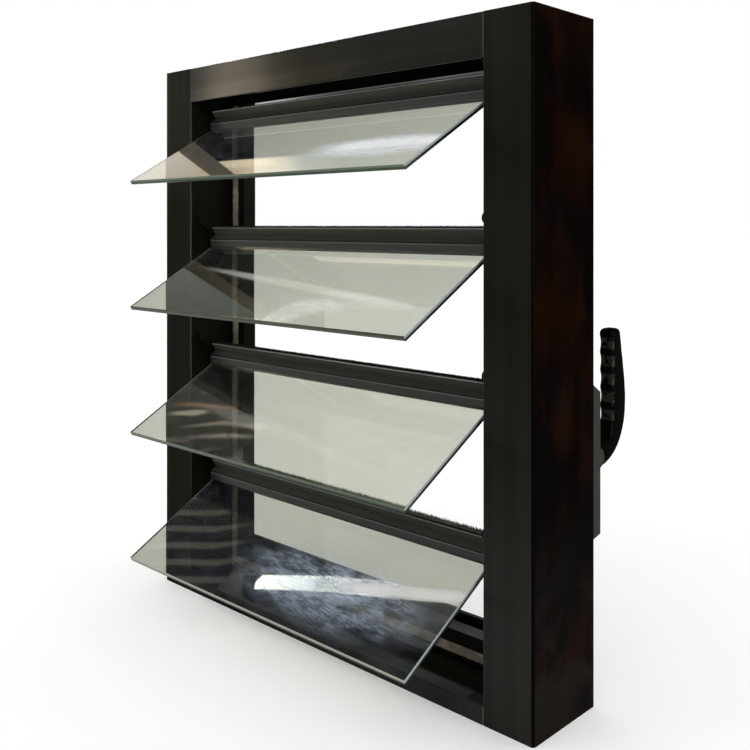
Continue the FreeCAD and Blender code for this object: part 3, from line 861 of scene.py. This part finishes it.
def rail_piles():
    """Narrow brushed seals that stand on each rail's rear flange: black, and lighter on the lowest rail,
    where they are taller.
    """
    black_yarn = pile_yarn("rail_pile", PILE_BLACK, SHADOW_AND_YARN_BLACK)
    lowest_yarn = pile_yarn("rail_pile_lowest", RAIL_PILE_LIGHT, RAIL_PILE_DARK)
    inward = np.array((0, math.cos(BLADE_TILT), math.sin(BLADE_TILT)))
    off_glass = np.array((0, -math.sin(BLADE_TILT), math.cos(BLADE_TILT)))
    for number in BLADES:
        node = f"blade_{number}_pile"
        low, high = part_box(node)
        side = (high.y - low.y) / (math.cos(BLADE_TILT) + math.sin(BLADE_TILT))
        corner = middle_of(node) - inward * side / 2 - off_glass * side / 2
        corner[0] = low.x
        size = (high.x - low.x, side, PILE_RISE.get(number, side))
        seed = RAIL_PILE_SEED + number
        points, faces = pile_mesh(corner, (1, 0, 0), inward, off_glass, size, RAIL_PILE_PITCH, seed)
        yarn = lowest_yarn if number in PILE_RISE else black_yarn
        piece = make_piece(f"{node}_tufts", points, faces, yarn, f"blade_{number}")
        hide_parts(node)


# Lever

def bezier(corners, t):
    """Points of a cubic curve with four control points."""
    t = np.clip(t, 0, 1)[:, None]
    weights = ((1 - t) ** 3, 3 * t * (1 - t) ** 2, 3 * t ** 2 * (1 - t), t ** 3)
    return sum(weight * np.array(corner, float) for weight, corner in zip(weights, corners))


def joined(curves, knot, s):
    """Two cubic curves end to end, which meet at s = knot."""
    before = bezier(curves[0], s / knot)
    after = bezier(curves[1], (s - knot) / (1 - knot))
    return np.where((s < knot)[:, None], before, after)


def tube_faces(rings, count):
    """Quads between neighbouring closed rings of points."""
    ring, spot = np.meshgrid(np.arange(rings - 1), np.arange(count), indexing="ij")
    after = (spot + 1) % count
    here = ring * count
    there = here + count
    corners = (here + spot, here + after, there + after, there + spot)
    return np.stack(corners, -1).reshape(-1, 4).tolist()


def lever_grip():
    """Grip of the lever about its pin, in mm: across the lever, into the room and up.

    Section s runs from the inner curve to the outer curve, which gives its middle and its half depth. Round
    it the angle a gives depth sign(cos a) |cos a|^p and width sign(sin a) |sin a|^p, with one power p on the
    inner and another on the outer side. Dips |sin|^q lie along the inner side, the tip is rounded off, and
    within the reach of the housing's ears the width shrinks to the hub's.
    """
    s = np.linspace(LEVER_START, 1, LEVER_SECTIONS)
    inner = joined(LEVER_INNER, LEVER_BEND, s)
    outer = joined(LEVER_OUTER, LEVER_BELLY, s)
    along = np.clip((s - LEVER_BEND) / (1 - LEVER_BEND), 0, 1) * FINGERS
    inner[:, 0] += FINGER_DIP * np.abs(np.sin(math.pi * along)) ** DIP_POWER
    close = np.linspace(0, 1, TIP_RINGS + 1)[1:] * math.pi / 2
    rise = np.column_stack([np.zeros(TIP_RINGS), LEVER_TIP * np.sin(close)])
    shrink = np.concatenate([np.ones(LEVER_SECTIONS), np.maximum(np.cos(close), TIP_CLOSE) ** 0.5])
    middle = (inner + outer) / 2
    half = (outer - inner) / 2
    middle = np.concatenate([middle, middle[-1] + rise])
    half = np.concatenate([half, np.repeat(half[-1:], TIP_RINGS, 0)]) * shrink[:, None]
    turn = np.arange(LEVER_SIDES) / LEVER_SIDES * 2 * math.pi
    power = np.where(np.cos(turn) < 0, INNER_ROUNDING, OUTER_ROUNDING)
    depth = np.sign(np.cos(turn)) * np.abs(np.cos(turn)) ** power
    wide = np.sign(np.sin(turn)) * np.abs(np.sin(turn)) ** power * LEVER_HALF_WIDTH
    section = middle[:, None] + half[:, None] * depth[None, :, None]
    away = np.clip((np.hypot(section[..., 0], section[..., 1]) - EAR_REACH) / EAR_EASE, 0, 1)
    narrow = HUB_HALF_WIDTH / LEVER_HALF_WIDTH
    across = wide * shrink[:, None] * (narrow + (1 - narrow) * away * away * (3 - 2 * away))
    points = np.concatenate([across[..., None], section], 2).reshape(-1, 3)
    first_ring = range(LEVER_SIDES)
    last_ring = range(len(points) - LEVER_SIDES, len(points))
    faces = tube_faces(len(shrink), LEVER_SIDES) + [list(reversed(first_ring)), list(last_ring)]
    return points, faces


def lever_hub():
    """Ring of the hub round the pin: a rectangle with cut corners, turned once about the pin."""
    small, big, side, cut = PIN_ROOM, HUB_RADIUS, HUB_HALF_WIDTH, HUB_CUT
    corners = np.array([
        (small, -side), (big - cut, -side), (big, cut - side),
        (big, side - cut), (big - cut, side), (small, side),
    ])
    turn = np.arange(HUB_SIDES + 1) / HUB_SIDES * 2 * math.pi
    radius, across = (np.broadcast_to(way, (len(turn), len(corners))) for way in corners.T)
    points = np.stack([across, radius * np.cos(turn)[:, None], radius * np.sin(turn)[:, None]], 2)
    return points.reshape(-1, 3), tube_faces(len(turn), len(corners))


def pull_lever():
    """Rounded finger-grip lever with its hub ring, in place of the plain one."""
    grip, grip_faces = lever_grip()
    hub, hub_faces = lever_hub()
    points = np.concatenate([grip, hub]) * MM + middle_of("handle_pin")
    faces = grip_faces + [[k + len(grip) for k in face] for face in hub_faces]
    piece = make_piece("lever_grip", points, faces, lever_gloss(), "lever")
    smooth = np.arange(len(faces)) < len(grip_faces)
    piece.data.polygons.foreach_set("use_smooth", smooth)
    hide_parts("handle_lever")


# Stage

def seen(tree):
    """A switch for the rays that show the background: from the camera, mirrored or through glass."""
    path = tree.node("ShaderNodeLightPath").socket.node
    camera, gloss, through = (
        Socket(tree.tree, path.outputs[f"Is {kind} Ray"]) for kind in ("Camera", "Glossy", "Transmission")
    )
    mirrored = gloss * (1 - through)
    return camera + mirrored + through


def make_floor():
    """A wide pale floor at the sill's underside, white where nothing shades it."""
    finish = Finish("floor_white", base_color=FLOOR_COLOUR, roughness=0.9, specular_ior_level=0.0)
    glow = finish.node("ShaderNodeEmission", sockets={"Color": WHITE, "Strength": seen(finish) * FLOOR_GLOW})
    finish.show(finish.node("ShaderNodeAddShader", sockets={0: finish.surface(), 1: glow}))
    mesh = bpy.data.meshes.new("floor")
    points = [(-FLOOR_HALF, -FLOOR_HALF, 0), (FLOOR_HALF, -FLOOR_HALF, 0),
              (FLOOR_HALF, FLOOR_HALF, 0), (-FLOOR_HALF, FLOOR_HALF, 0)]
    mesh.from_pydata(points, [], [(0, 1, 2, 3)])
    mesh.materials.append(finish.material)
    floor = bpy.data.objects.new("floor", mesh)
    bpy.context.scene.collection.objects.link(floor)


def light_world():
    """White where it is seen, with a dimmer ceiling overhead, and an even plain light for the rest."""
    world = bpy.data.worlds.new("studio")
    bpy.context.scene.world = world
    tree = Tree(world)
    direction = tree.node("ShaderNodeTexCoord", output="Generated")
    _, inward, rise = tree.axes(direction)
    ceiling = tree.node("ShaderNodeValToRGB", {"stops": CEILING_STOPS}, {"Fac": inward})
    colour = tree.blend(tree.spread(rise, *CEILING_RISE), WHITE, ceiling)
    plain = tree.node("ShaderNodeBackground", sockets={"Color": WHITE, "Strength": PLAIN_LIGHT})
    shown = tree.node("ShaderNodeBackground", sockets={"Color": colour, "Strength": 1.0})
    tree.node("ShaderNodeOutputWorld", sockets={"Surface": tree.layered(seen(tree), plain, shown)})


def ribbon_mesh(path, width, upright):
    """A ribbon along a path: points = path + v width across / 2 for v = -1, 0, 1, across level or upright.

    Its glow is 1 on the middle row, 0 on the outer rows and 0 at both ends.
    """
    path = np.array(path)
    run = np.gradient(path, axis=0)
    across = np.stack([-run[:, 1], run[:, 0], np.zeros(len(run))], 1) / np.linalg.norm(run, axis=1)[:, None]
    if upright:
        across = np.array((0.0, 0.0, 1.0))
    points = np.concatenate([path + across * width * v / 2 for v in (-1, 0, 1)])
    count = len(path)
    glow = np.zeros((3, count))
    glow[1, 1:-1] = 1.0
    first = np.arange(count - 1)
    strip = np.stack([first, first + 1, first + count + 1, first + count], 1)
    return points, np.concatenate([strip, strip + count]), glow.ravel()


def light_ribbon(name, path, height, width, strength, softness, colour, upright=False):
    """A glowing ribbon at a given height, which shows only in gloss and through glass."""
    points, faces, glow = ribbon_mesh([(x, y, height) for x, y in path], width, upright)
    mesh = bpy.data.meshes.new(name)
    mesh.from_pydata(points.tolist(), [], faces.tolist())
    mesh.attributes.new("glow", "FLOAT", "POINT").data.foreach_set("value", glow)
    material = bpy.data.materials.new(name)
    tree = Tree(material)
    level = tree.node("ShaderNodeAttribute", {"attribute_name": "glow"}, output="Fac")
    lit = tree.node("ShaderNodeEmission", sockets={"Color": colour, "Strength": strength})
    clear = tree.node("ShaderNodeBsdfTransparent")
    surface = tree.layered(tree.spread(level, 0.0, softness), clear, lit)
    tree.node("ShaderNodeOutputMaterial", sockets={"Surface": surface})
    mesh.materials.append(material)
    ribbon = bpy.data.objects.new(name, mesh)
    ribbon.visible_camera = False
    ribbon.visible_diffuse = False
    ribbon.visible_shadow = False
    bpy.context.scene.collection.objects.link(ribbon)


def light_ribbons():
    """A tube, two panels, streaks and a row of slats overhead, and soft cards beside the stage."""
    for name, (path, *looks) in RIBBONS.items():
        light_ribbon(name, path, ROOF_HEIGHT, *looks)
    for k in range(SLATS):
        path = [(x + dx * k, y + dy * k) for (x, y), (dx, dy) in SLAT_PATH]
        light_ribbon(f"slat_{k}", path, ROOF_HEIGHT, SLAT_WIDTH, SLAT_STRENGTH, SLAT_SOFTNESS, WARM_WHITE)
    for name, card in UPRIGHT_CARDS.items():
        light_ribbon(name, *card, upright=True)


def key_light():
    """A soft square lamp that faces the window."""
    lamp = bpy.data.lights.new("key_light", "AREA")
    lamp.shape = "RECTANGLE"
    lamp.size = KEY_SIZE
    lamp.size_y = KEY_SIZE
    lamp.energy = KEY_POWER
    holder = bpy.data.objects.new("key_light", lamp)
    holder.location = KEY_PLACE
    toward = Vector(KEY_AIM) - Vector(KEY_PLACE)
    holder.rotation_euler = toward.to_track_quat("-Z", "Y").to_euler()
    holder.visible_camera = False
    bpy.context.scene.collection.objects.link(holder)


def make_camera():
    """A level camera whose view is shifted down."""
    lens = bpy.data.cameras.new("camera")
    lens.lens = CAMERA_LENS
    lens.sensor_width = SENSOR_WIDTH
    lens.shift_y = CAMERA_DROP
    camera = bpy.data.objects.new("camera", lens)
    camera.location = CAMERA_PLACE
    camera.rotation_euler = (math.pi / 2, 0, math.radians(CAMERA_YAW))
    bpy.context.scene.collection.objects.link(camera)
    bpy.context.scene.camera = camera


dress_frame()
dress_blades()
pull_lever()
frame_piles()
rail_piles()
make_floor()
light_world()
key_light()
light_ribbons()
make_camera()
bpy.context.scene.view_settings.view_transform = "Standard"
